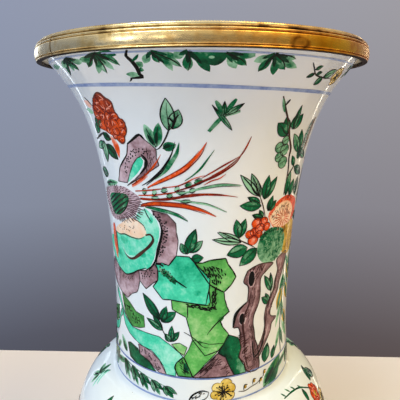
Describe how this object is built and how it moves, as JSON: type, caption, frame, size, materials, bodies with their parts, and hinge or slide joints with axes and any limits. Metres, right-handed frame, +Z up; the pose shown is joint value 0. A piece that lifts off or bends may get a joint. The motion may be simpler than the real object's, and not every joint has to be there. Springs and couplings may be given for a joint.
{
  "type": "yen yen vase",
  "caption": "Tall porcelain vase with a trumpet neck, round shoulder and spreading foot, enamelled with birds, rocks and flowers, and a moulded gilt rim mount.",
  "frame": {"origin": "middle of the foot ring, on the surface that the vase stands on", "axes": "+Z up along the axis of the vase, -Y towards the side that the picture shows, +X to its right"},
  "size_m": [0.2192, 0.2192, 0.457],
  "materials": {
    "glazed_porcelain": "clear glossy glaze over white porcelain",
    "porcelain_slip": "fired white slip",
    "biscuit": "unglazed porcelain, turned and worn",
    "plaster": "matt plaster",
    "gilt_bronze": "polished gilding with brown wear",
    "brazing_metal": "dull brazing metal",
    "enamel_dark_green": "glossy translucent enamel",
    "enamel_leaf_green": "glossy translucent enamel",
    "enamel_turquoise": "glossy translucent enamel",
    "enamel_aubergine": "glossy translucent enamel",
    "enamel_iron_red": "thin iron red wash",
    "enamel_peach": "thin pale red wash",
    "enamel_yellow": "glossy translucent enamel",
    "enamel_black": "brushed black line",
    "underglaze_blue": "painted blue line"
  },
  "bodies": {
    "root": {"trumpet_neck": "glazed_porcelain", "shoulder": "glazed_porcelain", "lower_body": "glazed_porcelain", "foot": "glazed_porcelain", "neck_luting_slip": "porcelain_slip", "belly_luting_slip": "porcelain_slip", "foot_luting_slip": "porcelain_slip", "rim_bedding": "plaster", "rim_liner": "gilt_bronze", "rim_collar": "gilt_bronze", "collar_seam_braze": "brazing_metal", "milled_edge": "gilt_bronze"}
  },
  "joints": []
}
